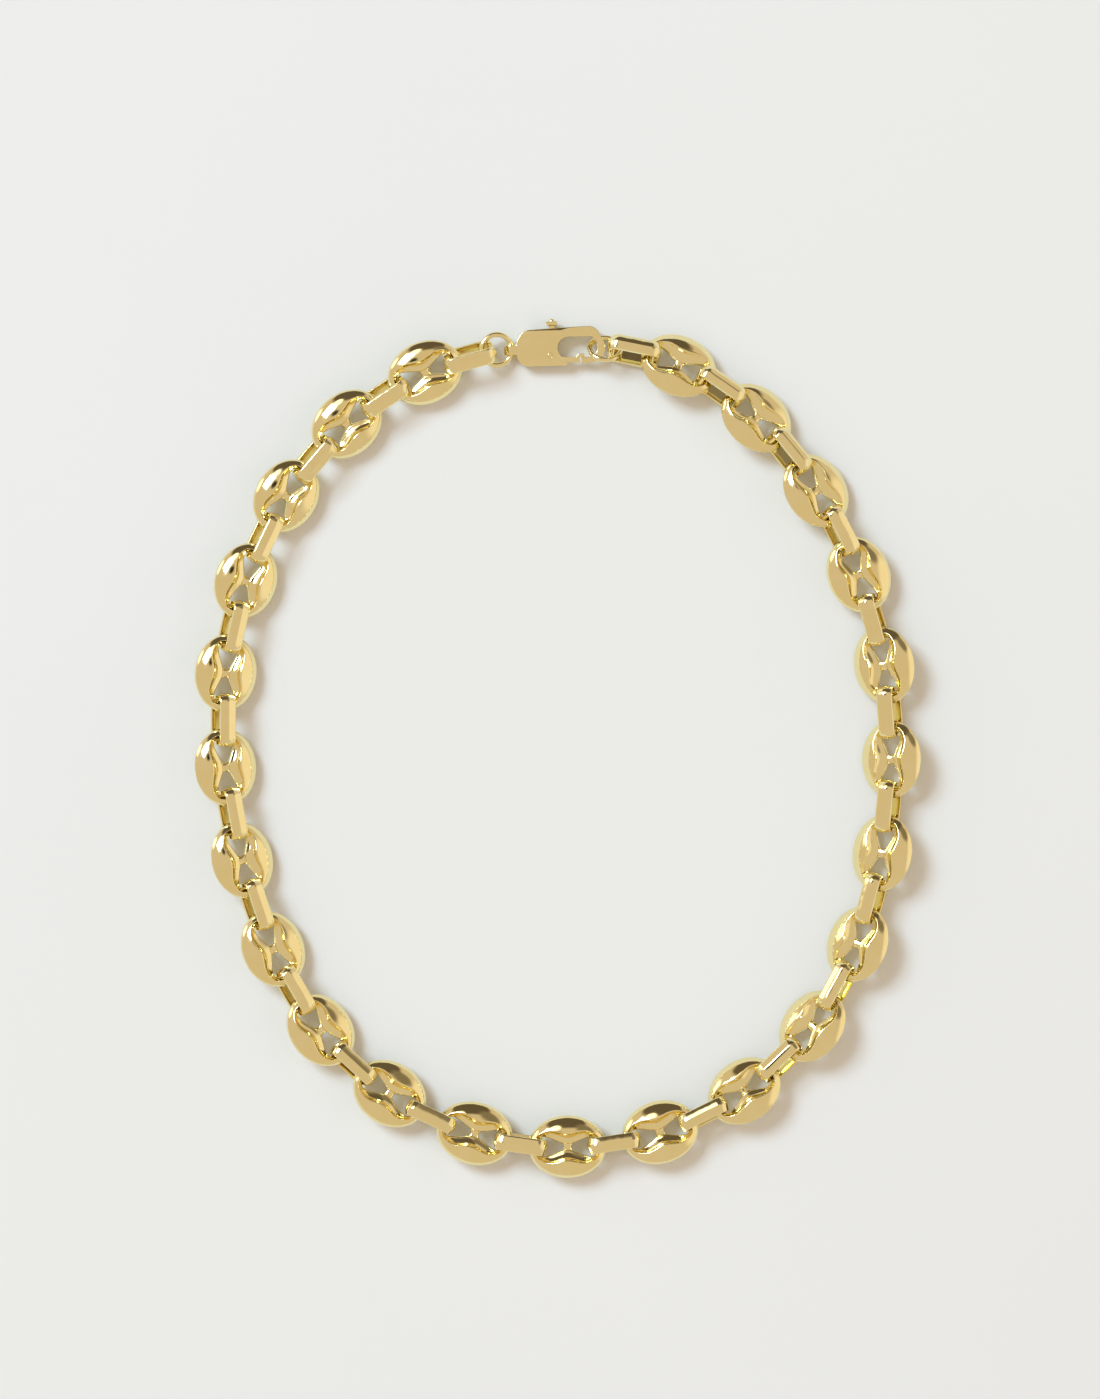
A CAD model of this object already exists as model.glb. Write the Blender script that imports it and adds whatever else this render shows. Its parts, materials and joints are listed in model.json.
import json
import math

import bmesh
import bpy
import numpy as np
from mathutils import Matrix, Vector


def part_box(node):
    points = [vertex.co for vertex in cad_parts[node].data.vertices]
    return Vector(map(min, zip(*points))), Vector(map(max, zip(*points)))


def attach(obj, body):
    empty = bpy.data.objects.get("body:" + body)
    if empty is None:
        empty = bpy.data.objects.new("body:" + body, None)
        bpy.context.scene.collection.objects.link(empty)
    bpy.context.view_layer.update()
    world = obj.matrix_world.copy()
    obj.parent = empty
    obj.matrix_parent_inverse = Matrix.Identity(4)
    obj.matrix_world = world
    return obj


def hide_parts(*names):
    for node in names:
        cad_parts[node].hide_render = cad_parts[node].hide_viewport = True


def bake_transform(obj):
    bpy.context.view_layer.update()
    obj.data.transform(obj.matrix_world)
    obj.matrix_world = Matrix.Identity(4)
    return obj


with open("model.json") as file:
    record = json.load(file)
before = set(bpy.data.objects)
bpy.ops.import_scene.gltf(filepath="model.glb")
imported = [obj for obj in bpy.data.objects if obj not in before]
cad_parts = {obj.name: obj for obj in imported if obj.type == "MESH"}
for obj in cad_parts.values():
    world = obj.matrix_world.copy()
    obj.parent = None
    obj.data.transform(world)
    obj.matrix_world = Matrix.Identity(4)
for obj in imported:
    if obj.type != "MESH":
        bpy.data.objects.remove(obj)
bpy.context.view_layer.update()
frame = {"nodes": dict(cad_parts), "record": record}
MM = 0.001
BODY_OF = {n: b for b, nodes in frame["record"]["behaviour"]["bodies"].items() for n in nodes}

# ------------------------------------------------------------ sizes, in millimetres

LINK_HALF = (7.2, 5.8)          # half length and half width at the seam
LINK_RISE, LINK_SINK = 3.0, 0.7  # dome height above its own centre, and how far that is sunk
LINK_RIM = 1.7                   # metal left between a hole and the end of the link
HOLE_HALF, WAIST_HALF = 1.93, 0.65
HOLE_FLARE, WAIST_FLARE, RIM_FLARE = 2.55, 2.63, 0.15
LIP_HEIGHT, FLARE_HEIGHT = 0.55, 2.6
HOLE_TAPER = 0.22                # how much narrower each side of a hole is at the mid-plane
RIDGE_SOFTNESS = 0.20
SEAM_INSET = 0.05               # how far each seam row is drawn into the metal
SEAM_SHARE = 0.45               # weight of the seam row in the extra row that is added beside it
RIM_ROW_OUT, HOLE_ROW_OUT = 0.035, 0.03
SCOOP_START = 0.42              # slope of the scooped side by the hole, as a share of its mean slope
BRIDGE = (0.80, 0.40, 1.6)      # half length, half height, reach into each lobe
BRIDGE_FLARE = 0.55             # how much longer it grows, each way, a millimetre from its middle

BAND = (10.1, 6.6, 3.0)         # connector: length, height, width
BAND_WALL = 1.15
BAND_CORNER, WINDOW_CORNER = 2.0, 0.6
CROWN_HALF, CROWN_SOFT = 0.35, 0.85
BEVEL_SLOPE = math.tan(math.radians(24))

RING_RADIUS, RING_WIRE = 2.85, 0.49
SLOT_HALF = 0.80                # half the clasp body's slot, with room to spare: doming leaves it alone
DOME_POWER = 1.3
STEM_BELOW_EDGE = 0.2           # the knob's centre is measured from here up
KNOB_START, KNOB_BLEND = 0.05, 0.30  # where the knob starts to thicken past the body's edge, and over how far


# ------------------------------------------------------------ mesh helpers

def closed_grid(points):
    """Quads over a grid of points that closes on itself both ways."""
    rows, columns = points.shape[:2]
    index = np.arange(rows * columns).reshape(rows, columns)
    right = np.roll(index, -1, axis=0)
    quads = np.stack([index, right, np.roll(right, -1, axis=1), np.roll(index, -1, axis=1)], axis=-1)
    return points.reshape(-1, 3), quads.reshape(-1, 4)


def capped_tube(rings):
    """Quads along open rings of points, with a fan at each end."""
    count, around = rings.shape[:2]
    points = [tuple(p) for ring in rings for p in ring]
    faces = []
    for i in range(count - 1):
        for j in range(around):
            k = (j + 1) % around
            faces.append((i * around + j, i * around + k, (i + 1) * around + k, (i + 1) * around + j))
    for ring, order in ((0, 1), (count - 1, -1)):
        points.append(tuple(rings[ring].mean(axis=0)))
        for j in range(around):
            pair = (ring * around + (j + 1) % around, ring * around + j)
            faces.append((len(points) - 1,) + pair[::order])
    return np.array(points), faces


def make_mesh(name, parts):
    """One smooth-shaded mesh, in metres, from (points in mm, faces) pairs."""
    points, faces, base = [], [], 0
    for some, quads in parts:
        points.extend(tuple(p * MM for p in q) for q in some)
        faces.extend(tuple(int(i) + base for i in f) for f in quads)
        base += len(some)
    mesh = bpy.data.meshes.new(name)
    mesh.from_pydata(points, [], faces)
    mesh.validate()
    mesh.shade_smooth()
    return mesh


def outward(mesh):
    """Turns every face outwards."""
    work = bmesh.new()
    work.from_mesh(mesh)
    bmesh.ops.recalc_face_normals(work, faces=work.faces)
    work.to_mesh(mesh)
    work.free()
    return mesh


def along(points, count):
    """Points spaced evenly along a polyline."""
    points = np.asarray(points, float)
    steps = np.linalg.norm(np.diff(points, axis=0), axis=1)
    reach = np.concatenate([[0], np.cumsum(steps)])
    wanted = np.linspace(0, reach[-1], count)
    return np.stack([np.interp(wanted, reach, points[:, k]) for k in range(points.shape[1])], axis=1)


def smooth_loop(points, per_span=24):
    """A periodic cubic curve through points, parametrised by chord length."""
    points = np.asarray(points, float)
    n = len(points)
    gaps = np.linalg.norm(np.roll(points, -1, axis=0) - points, axis=1)
    system, right = np.zeros((n, n)), np.zeros((n, points.shape[1]))
    for i in range(n):
        before, after = gaps[i - 1], gaps[i]
        system[i, i - 1] += after
        system[i, i] += 2 * (before + after)
        system[i, (i + 1) % n] += before
        slope_in = (points[i] - points[i - 1]) / before
        slope_out = (points[(i + 1) % n] - points[i]) / after
        right[i] = 3 * (after * slope_in + before * slope_out)
    slopes = np.linalg.solve(system, right)
    curve = []
    for i in range(n):
        a, b, h = points[i], points[(i + 1) % n], gaps[i]
        for t in np.arange(per_span) / per_span:
            curve.append((2 * t**3 - 3 * t**2 + 1) * a + (t**3 - 2 * t**2 + t) * h * slopes[i]
                         + (3 * t**2 - 2 * t**3) * b + (t**3 - t**2) * h * slopes[(i + 1) % n])
    return np.array(curve)


def mirrored_quarters(quarter, per_quarter):
    """A whole loop, evenly spaced along each quarter, from one quarter of its points."""
    upper = quarter + [(-x, y) for x, y in reversed(quarter[:-1])]
    lower = [(x, -y) for x, y in reversed(upper[1:-1])]
    spans = 24
    curve = smooth_loop(upper + lower, spans)
    first = along(curve[: (len(quarter) - 1) * spans + 1], per_quarter + 1)
    second = (first * (-1, 1))[::-1]
    half = np.concatenate([first[:-1], second[:-1]])
    return np.concatenate([half, -half])


# ------------------------------------------------------------ the puffed link

def seam_quarter():
    end = LINK_HALF[0] - LINK_RIM
    return [(end, 0.0), (end - 0.01, 0.62 * HOLE_HALF), (end - 0.10, 0.84 * HOLE_HALF),
            (end - 0.40, 0.96 * HOLE_HALF), (0.80 * end, HOLE_HALF), (0.49 * end, 0.78 * HOLE_HALF),
            (0.22 * end, WAIST_HALF + 0.25), (0.0, WAIST_HALF)]


def mouth_quarter():
    end = LINK_HALF[0] + RIM_FLARE
    wide = HOLE_HALF + HOLE_FLARE
    waist = WAIST_HALF + WAIST_FLARE
    return [(end, 0.0), (end - 0.15, 0.33 * wide), (end - 0.45, 0.56 * wide), (end - 1.05, 0.78 * wide),
            (0.68 * end, wide), (0.42 * end, 0.94 * wide), (0.18 * end, waist + 0.17), (0.0, waist)]


def dome_height(x, y):
    """Height of the upper dome over the mid-plane."""
    grow = 1 / math.sqrt(1 - (LINK_SINK / LINK_RISE) ** 2)
    inside = 1 - (x / (LINK_HALF[0] * grow)) ** 2 - (y / (LINK_HALF[1] * grow)) ** 2
    return LINK_RISE * np.sqrt(np.clip(inside, 0, None)) - LINK_SINK


def soft_minimum(a, b, width):
    share = np.clip(0.5 + 0.5 * (b - a) / width, 0, 1)
    return b * (1 - share) + a * share - width * share * (1 - share)


def link_section(outer, inner, flare, count):
    """Upper half of a lobe's section, from the rim's seam over the ridge to the hole's seam."""
    t = np.concatenate([np.linspace(0, 0.08, 12)[:-1], np.linspace(0.08, 1, 240)])[:, None]
    plan = outer + (inner - outer) * t
    reach = np.linalg.norm(inner - outer)
    dome = dome_height(plan[:, 0], plan[:, 1])
    ramp = (FLARE_HEIGHT - LIP_HEIGHT) * (1 - t[:, 0]) * reach / flare
    ridge = np.nonzero(LIP_HEIGHT + ramp > dome)[0].max()
    share = ramp / ramp[ridge]
    scoop = LIP_HEIGHT + ramp[ridge] * (SCOOP_START * share + (1 - SCOOP_START) * share ** 3)
    height = soft_minimum(dome, scoop, RIDGE_SOFTNESS)
    height = np.maximum(height, 0)
    height[0] = 0
    drop = np.linspace(0, 1, 10)[1:, None]
    inwards = (inner - outer) / reach
    wall = np.hstack([inner + inwards * HOLE_TAPER * np.sin(drop * math.pi / 2), (1 - drop) * height[-1]])
    return along(np.concatenate([np.column_stack([plan, height]), wall]), count)


def link_lobes(per_quarter=48, across=46):
    ellipse = [(LINK_HALF[0] * math.cos(a), LINK_HALF[1] * math.sin(a))
               for a in np.linspace(0, math.pi / 2, 9)]
    outer = mirrored_quarters(ellipse, per_quarter)
    inner = mirrored_quarters(seam_quarter(), per_quarter)
    mouth = mirrored_quarters(mouth_quarter(), per_quarter)
    rows = []
    for o, i, m in zip(outer, inner, mouth):
        upper = link_section(o, i, np.linalg.norm(m - i), across)
        outwards = np.append((o - i) / np.linalg.norm(o - i), 0)
        upper[0] -= SEAM_INSET * outwards
        upper[-1] += SEAM_INSET * outwards
        lower = upper[1:-1][::-1] * (1, 1, -1)
        near_rim = upper[0] * SEAM_SHARE + upper[1] * (1 - SEAM_SHARE) + RIM_ROW_OUT * outwards
        near_hole = upper[-1] * SEAM_SHARE + upper[-2] * (1 - SEAM_SHARE) - HOLE_ROW_OUT * outwards
        upper = np.concatenate([upper[:1], [near_rim], upper[1:-1], [near_hole], upper[-1:]])
        lower = np.concatenate([[near_hole * (1, 1, -1)], lower, [near_rim * (1, 1, -1)]])
        rows.append(np.concatenate([upper, lower]))
    return closed_grid(np.array(rows))


def link_bridge(around=36, count=17):
    """The low spool across the waist, pinched in the middle."""
    rings = []
    for y in np.linspace(-BRIDGE[2], BRIDGE[2], count):
        half = BRIDGE[0] + BRIDGE_FLARE * abs(y) ** 2.4
        ring = [(half * math.cos(a), y, BRIDGE[1] * (0.90 + 0.10 * abs(y)) * math.sin(a))
                for a in np.linspace(0, 2 * math.pi, around, endpoint=False)]
        rings.append(ring)
    return capped_tube(np.array(rings))


# ------------------------------------------------------------ the connector and the ring

def arc_path(length, height, radius, steps):
    """Rounded rectangle in X and Z, as (point, outward normal) pairs: the same steps at any radius."""
    path = []
    for quarter in range(4):
        sx = 1 if quarter in (0, 3) else -1
        sz = 1 if quarter in (0, 1) else -1
        for k in range(steps + 1):
            a = math.pi / 2 * (quarter + k / steps)
            n = np.array([math.cos(a), math.sin(a)])
            path.append((np.array([sx * (length / 2 - radius), sz * (height / 2 - radius)]) + radius * n, n))
    return path


def subdivided(path, pieces):
    """Extra stations along the four straight runs, between the arcs."""
    full, step = [], len(path) // 4
    for i, (point, normal) in enumerate(path):
        full.append((point, normal))
        if (i + 1) % step == 0:
            follower = path[(i + 1) % len(path)][0]
            for k in range(1, pieces):
                full.append((point + (follower - point) * k / pieces, normal))
    return full


def crown_depth(y):
    """How far the outside falls away from the crown towards an edge of the band."""
    past = abs(y) - CROWN_HALF
    level = math.hypot(CROWN_HALF, CROWN_SOFT) - CROWN_HALF
    return BEVEL_SLOPE * (past + math.hypot(past, CROWN_SOFT) - level) / 2


def connector_band():
    half = BAND[2] / 2
    outside = [(y, crown_depth(y)) for y in np.linspace(-half + 0.16, half - 0.16, 25)]
    edge = [(half - 0.07, crown_depth(half) + 0.01), (half - 0.015, crown_depth(half) + 0.07),
            (half, crown_depth(half) + 0.16)]
    sill = [(half, 0.14), (half - 0.015, 0.07), (half - 0.06, 0.015), (half - 0.14, 0.0)]
    outer = subdivided(arc_path(BAND[0], BAND[1], BAND_CORNER, 14), 8)
    inner = subdivided(arc_path(BAND[0] - 2 * BAND_WALL, BAND[1] - 2 * BAND_WALL, WINDOW_CORNER, 14), 8)
    rows = []
    for (o, n), (i, _) in zip(outer, inner):
        row = [(o - n * d, y) for y, d in outside + edge]
        row += [(i + n * d, y) for y, d in sill]
        row += [(i, y) for y in (0.6, 0.0, -0.6)]
        row += [(i + n * d, -y) for y, d in reversed(sill)]
        row += [(o - n * d, -y) for y, d in reversed(edge)]
        rows.append([(p[0], y, p[1]) for p, y in row])
    return closed_grid(np.array(rows))


def wire_ring(around=120, section=28):
    """A round wire closed on itself, with the hairline of its butt joint."""
    rows = []
    for k in range(around):
        a = 2 * math.pi * k / around
        wire = RING_WIRE - 0.05 * math.exp(-((k - around / 2) / 0.7) ** 2)
        rows.append([((RING_RADIUS + wire * math.cos(b)) * math.cos(a),
                      (RING_RADIUS + wire * math.cos(b)) * math.sin(a), wire * math.sin(b))
                     for b in np.linspace(0, 2 * math.pi, section, endpoint=False)])
    return closed_grid(np.array(rows))


# ------------------------------------------------------------ placing a form on a CAD node

def node_geometry(node):
    mesh = frame["nodes"][node].data
    points = np.zeros(len(mesh.vertices) * 3, np.float32)
    mesh.vertices.foreach_get("co", points)
    mesh.calc_loop_triangles()
    corners = np.zeros(len(mesh.loop_triangles) * 3, np.int32)
    mesh.loop_triangles.foreach_get("vertices", corners)
    return points.reshape(-1, 3).astype(float), corners.reshape(-1, 3)


def node_frame(node, order):
    """Placement of a node from its surface's own axes; order gives which spread is X, Y and Z."""
    points, triangles = node_geometry(node)
    a, b, c = (points[triangles[:, k]] for k in range(3))
    area = np.linalg.norm(np.cross(b - a, c - a), axis=1)[:, None]
    middle = ((a + b + c) / 3 * area).sum(axis=0) / area.sum()
    spread = np.zeros((3, 3))
    for p in ((a + b) / 2, (b + c) / 2, (c + a) / 2):
        q = p - middle
        spread += (q * area).T @ q
    _, axes = np.linalg.eigh(spread)
    axes = axes[:, [2, 1, 0]]
    x, y, z = (axes[:, k] for k in order)
    if z[2] < 0:
        z = -z
    if x[0] < 0:
        x = -x
    y = np.cross(z, x)
    place = Matrix.Identity(4)
    for row in range(3):
        place[row][0], place[row][1], place[row][2] = x[row], y[row], z[row]
        place[row][3] = middle[row]
    return place


def put(node, mesh, place, material):
    """A piece that stands for a CAD node and rides on its body."""
    piece = bpy.data.objects.new("fine_" + node, mesh)
    bpy.context.scene.collection.objects.link(piece)
    piece.matrix_world = place
    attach(piece, BODY_OF[node])
    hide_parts(node)
    if not mesh.materials:
        mesh.materials.append(material)
    return piece


def softened(node, voxel, rounds, factor=0.5):
    """A copy of a CAD node's surface as an even net, relaxed so that its edges are rounded."""
    source = frame["nodes"][node].data.copy()
    source.transform(Matrix.Scale(1 / MM, 4))
    helper = bpy.data.objects.new("helper", source)
    bpy.context.scene.collection.objects.link(helper)
    net = helper.modifiers.new("net", "REMESH")
    net.mode = "VOXEL"
    net.voxel_size = voxel
    relax = helper.modifiers.new("relax", "SMOOTH")
    relax.factor = factor
    relax.iterations = rounds
    bpy.context.view_layer.update()
    graph = bpy.context.evaluated_depsgraph_get()
    mesh = bpy.data.meshes.new_from_object(helper.evaluated_get(graph))
    bpy.data.objects.remove(helper)
    mesh.materials.clear()
    mesh.transform(Matrix.Scale(MM, 4))
    mesh.name = node + "_soft"
    mesh.shade_smooth()
    return mesh


def domed(mesh, node, flat, drop):
    """Lets both faces of a flat piece fall away towards its long edges, leaving its slot as it is."""
    low, high = (np.array(corner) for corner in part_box(node))
    middle, half = (low + high) / 2, (high - low) / 2
    for vertex in mesh.vertices:
        across = (vertex.co.y - middle[1]) / half[1]
        past = max(0.0, abs(across) - flat) / (1 - flat)
        height = (vertex.co.z - middle[2]) / MM
        outside = min(1.0, max(0.0, abs(height) - SLOT_HALF) / (half[2] / MM - SLOT_HALF))
        vertex.co.z -= drop * MM * past ** DOME_POWER * math.copysign(outside, height)
    return mesh


def knobbed(mesh, growth):
    """Thickens the lever's thumb knob, which is what stands out past the edge of the clasp body."""
    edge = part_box("clasp_body")[1][1]
    stem = [vertex for vertex in mesh.vertices if vertex.co.y > edge - STEM_BELOW_EDGE * MM]
    middle = sum((vertex.co for vertex in stem), Vector()) / len(stem)
    for vertex in stem:
        past = max(0.0, vertex.co.y - edge - KNOB_START * MM)
        share = min(1.0, past / (KNOB_BLEND * MM))
        for axis in (0, 2):
            vertex.co[axis] += (vertex.co[axis] - middle[axis]) * (growth - 1) * share
    return mesh


def put_spring(material):
    """The coil that closes the lever: one end stays in the slot, the other goes with the lever's stalk."""
    mesh = frame["nodes"]["lever_spring"].data.copy()
    mesh.materials.clear()
    mesh.materials.append(material)
    mesh.shade_smooth()
    spring = bpy.data.objects.new("fine_lever_spring", mesh)
    bpy.context.scene.collection.objects.link(spring)
    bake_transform(spring)
    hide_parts("lever_spring")


# ------------------------------------------------------------ materials

def plated(name, color, warm, roughness, ripple, grain_scale=(1, 1, 1)):
    """Polished plating: tone that drifts, uneven polish, faint ripples and scratches."""
    material = bpy.data.materials.new(name)
    material.use_nodes = True
    tree = material.node_tree
    tree.nodes.clear()
    add = tree.nodes.new
    join = tree.links.new
    out = add("ShaderNodeOutputMaterial")
    metal = add("ShaderNodeBsdfPrincipled")
    metal.inputs["Metallic"].default_value = 1.0
    join(metal.outputs["BSDF"], out.inputs["Surface"])
    where = add("ShaderNodeTexCoord")

    drift = add("ShaderNodeTexNoise")
    drift.inputs["Scale"].default_value = 260
    drift.inputs["Detail"].default_value = 3
    join(where.outputs["Object"], drift.inputs["Vector"])
    tone = add("ShaderNodeMapRange")
    tone.inputs["From Min"].default_value = 0.35
    tone.inputs["From Max"].default_value = 0.7
    join(drift.outputs["Fac"], tone.inputs["Value"])
    blend = add("ShaderNodeMix")
    blend.data_type = "RGBA"
    blend.inputs[6].default_value = (*color, 1)
    blend.inputs[7].default_value = (*warm, 1)
    join(tone.outputs["Result"], blend.inputs[0])
    join(blend.outputs[2], metal.inputs["Base Color"])

    polish = add("ShaderNodeTexNoise")
    polish.inputs["Scale"].default_value = 900
    polish.inputs["Detail"].default_value = 5
    join(where.outputs["Object"], polish.inputs["Vector"])
    rough = add("ShaderNodeMapRange")
    rough.inputs["From Min"].default_value = 0.3
    rough.inputs["From Max"].default_value = 0.75
    rough.inputs["To Min"].default_value = roughness * 0.7
    rough.inputs["To Max"].default_value = roughness * 1.6
    join(polish.outputs["Fac"], rough.inputs["Value"])
    join(rough.outputs["Result"], metal.inputs["Roughness"])

    waves = add("ShaderNodeTexNoise")
    waves.inputs["Scale"].default_value = 420
    waves.inputs["Detail"].default_value = 1
    join(where.outputs["Object"], waves.inputs["Vector"])
    scratch_place = add("ShaderNodeMapping")
    scratch_place.inputs["Scale"].default_value = grain_scale
    scratch_place.inputs["Rotation"].default_value = (0.4, 0.3, 0.7)
    join(where.outputs["Object"], scratch_place.inputs["Vector"])
    scratches = add("ShaderNodeTexNoise")
    scratches.inputs["Scale"].default_value = 2600
    scratches.inputs["Detail"].default_value = 4
    join(scratch_place.outputs["Vector"], scratches.inputs["Vector"])
    broad = add("ShaderNodeBump")
    broad.inputs["Strength"].default_value = ripple
    broad.inputs["Distance"].default_value = 0.0001
    join(waves.outputs["Fac"], broad.inputs["Height"])
    fine = add("ShaderNodeBump")
    fine.inputs["Strength"].default_value = 0.06
    fine.inputs["Distance"].default_value = 0.00002
    join(scratches.outputs["Fac"], fine.inputs["Height"])
    join(broad.outputs["Normal"], fine.inputs["Normal"])
    join(fine.outputs["Normal"], metal.inputs["Normal"])
    return material


GOLD = (0.925, 0.815, 0.445)
DEEP_GOLD = (0.91, 0.78, 0.39)
link_gold = plated("link_gold", GOLD, DEEP_GOLD, 0.07, 0.30)
connector_gold = plated("connector_gold", GOLD, DEEP_GOLD, 0.085, 0.45, (1, 4, 4))
ring_gold = plated("ring_gold", GOLD, DEEP_GOLD, 0.10, 0.12)
clasp_gold = plated("clasp_gold", GOLD, DEEP_GOLD, 0.09, 0.20)
rivet_gold = plated("rivet_gold", DEEP_GOLD, GOLD, 0.16, 0.15)
spring_steel = plated("spring_steel", (0.56, 0.55, 0.53), (0.48, 0.46, 0.43), 0.28, 0.1, (6, 1, 1))

# ------------------------------------------------------------ the necklace

link_mesh = outward(make_mesh("puffed_link_form", [link_lobes(), link_bridge()]))
connector_mesh = outward(make_mesh("connector_form", [connector_band()]))
ring_mesh = outward(make_mesh("ring_form", [wire_ring()]))

for node in sorted(frame["nodes"]):
    if node.startswith("puffed_link"):
        put(node, link_mesh, node_frame(node, (0, 1, 2)), link_gold)
    elif node.startswith("connector"):
        put(node, connector_mesh, node_frame(node, (0, 2, 1)), connector_gold)
    elif node.startswith("jump_ring"):
        put(node, ring_mesh, node_frame(node, (0, 1, 2)), ring_gold)

as_in_cad = Matrix.Identity(4)
body_mesh = domed(softened("clasp_body", voxel=0.07, rounds=7), "clasp_body", flat=0.42, drop=0.52)
lever_mesh = knobbed(softened("clasp_lever", voxel=0.05, rounds=6), growth=1.3)
put("clasp_body", body_mesh, as_in_cad, clasp_gold)
put("clasp_lever", lever_mesh, as_in_cad, clasp_gold)
put("clasp_rivet", softened("clasp_rivet", voxel=0.03, rounds=5), as_in_cad, rivet_gold)
put_spring(spring_steel)

# ------------------------------------------------------------ floor, light and camera

PHOTO_CENTRE = (-0.0014, 0.0090)
PHOTO_HEIGHT = 0.2602
CAMERA_HEIGHT = 0.80
CAMERA_ABOVE = 0.003            # the camera looks at a plane this high, the middle of the chain
FLOOR_HALF = 3.0
FLOOR_GAP = 0.00002             # keeps the floor clear of the faces that rest on it


def pale_floor():
    mesh = bpy.data.meshes.new("floor")
    ends = (-FLOOR_HALF, FLOOR_HALF)
    points = [(x, y, 0.0) for y in ends for x in ends]
    mesh.from_pydata(points, [], [(0, 1, 3, 2)])
    floor = bpy.data.objects.new("floor", mesh)
    bpy.context.scene.collection.objects.link(floor)
    floor.location.z = -FLOOR_GAP
    material = bpy.data.materials.new("floor_paint")
    material.use_nodes = True
    nodes, links = material.node_tree.nodes, material.node_tree.links
    paint = nodes["Principled BSDF"]
    paint.inputs["Roughness"].default_value = 0.75
    paint.inputs["Specular IOR Level"].default_value = 0.25
    where = nodes.new("ShaderNodeTexCoord")
    mottle = nodes.new("ShaderNodeTexNoise")
    mottle.inputs["Scale"].default_value = 9
    links.new(where.outputs["Object"], mottle.inputs["Vector"])
    tones = nodes.new("ShaderNodeValToRGB")
    tones.color_ramp.elements[0].color = (0.845, 0.842, 0.822, 1)
    tones.color_ramp.elements[1].color = (0.868, 0.866, 0.848, 1)
    links.new(mottle.outputs["Fac"], tones.inputs["Fac"])
    links.new(tones.outputs["Color"], paint.inputs["Base Color"])
    mesh.materials.append(material)


def studio_surroundings():
    """The room the metal reflects, as light that depends on direction."""
    world = bpy.data.worlds.new("studio")
    bpy.context.scene.world = world
    world.use_nodes = True
    nodes, links = world.node_tree.nodes, world.node_tree.links
    nodes.clear()
    out = nodes.new("ShaderNodeOutputWorld")
    background = nodes.new("ShaderNodeBackground")
    links.new(background.outputs[0], out.inputs[0])
    where = nodes.new("ShaderNodeTexCoord")

    def lobe(azimuth, elevation, inner, outer):
        """1 within the inner angle of a direction, falling to 0 at the outer angle."""
        a, e = math.radians(azimuth), math.radians(elevation)
        facing = nodes.new("ShaderNodeVectorMath")
        facing.operation = "DOT_PRODUCT"
        direction = (math.cos(a) * math.cos(e), math.sin(a) * math.cos(e), math.sin(e))
        facing.inputs[1].default_value = direction
        links.new(where.outputs["Generated"], facing.inputs[0])
        fall = nodes.new("ShaderNodeMapRange")
        fall.interpolation_type = "SMOOTHSTEP"
        fall.inputs["From Min"].default_value = math.cos(math.radians(outer))
        fall.inputs["From Max"].default_value = math.cos(math.radians(inner))
        links.new(facing.outputs["Value"], fall.inputs["Value"])
        return fall.outputs["Result"]

    def towards(colour_before, share, colour):
        mix = nodes.new("ShaderNodeMix")
        mix.data_type = "RGBA"
        links.new(share, mix.inputs[0])
        if isinstance(colour_before, tuple):
            mix.inputs[6].default_value = colour_before
        else:
            links.new(colour_before, mix.inputs[6])
        mix.inputs[7].default_value = colour
        return mix.outputs[2]

    colour = (0.70, 0.59, 0.485, 1)
    for azimuth, elevation, inner, outer, tone in (
        (270, 20, 20, 70, (0.71, 0.60, 0.48, 1)),
        (0, 15, 25, 40, (0.98, 0.86, 0.72, 1)),
        (92, 20, 26, 34, (0.13, 0.10, 0.075, 1)),
        (52, 40, 10, 21, (0.24, 0.20, 0.15, 1)),
        (116, 45, 5, 11, (2.1, 2.0, 1.9, 1)),
        (154, 10, 7, 14, (1.9, 1.8, 1.7, 1)),
        (136, 68, 3, 8, (0.03, 0.022, 0.018, 1)),
    ):
        colour = towards(colour, lobe(azimuth, elevation, inner, outer), tone)
    links.new(colour, background.inputs["Color"])
    background.inputs["Strength"].default_value = 1.0


def soft_box(name, place, target, size, power, colour):
    light = bpy.data.lights.new(name, "AREA")
    light.shape = "RECTANGLE"
    light.size, light.size_y = size
    light.energy = power
    light.color = colour
    box = bpy.data.objects.new(name, light)
    bpy.context.scene.collection.objects.link(box)
    box.location = place
    box.rotation_mode = "QUATERNION"
    box.rotation_quaternion = (Vector(target) - Vector(place)).to_track_quat("-Z", "Y")


def camera_over_the_table():
    data = bpy.data.cameras.new("camera")
    data.sensor_fit = "AUTO"
    data.sensor_width = 36
    data.lens = 18 * CAMERA_HEIGHT / (PHOTO_HEIGHT / 2)
    data.clip_start, data.clip_end = 0.01, 20
    camera = bpy.data.objects.new("camera", data)
    bpy.context.scene.collection.objects.link(camera)
    camera.location = (*PHOTO_CENTRE, CAMERA_HEIGHT + CAMERA_ABOVE)
    bpy.context.scene.camera = camera


pale_floor()
studio_surroundings()
soft_box("key", (-2.4, 2.0, 3.2), (0, 0, 0), (1.7, 1.7), 140, (0.60, 0.81, 1.0))
camera_over_the_table()
bpy.context.scene.view_settings.view_transform = "Standard"
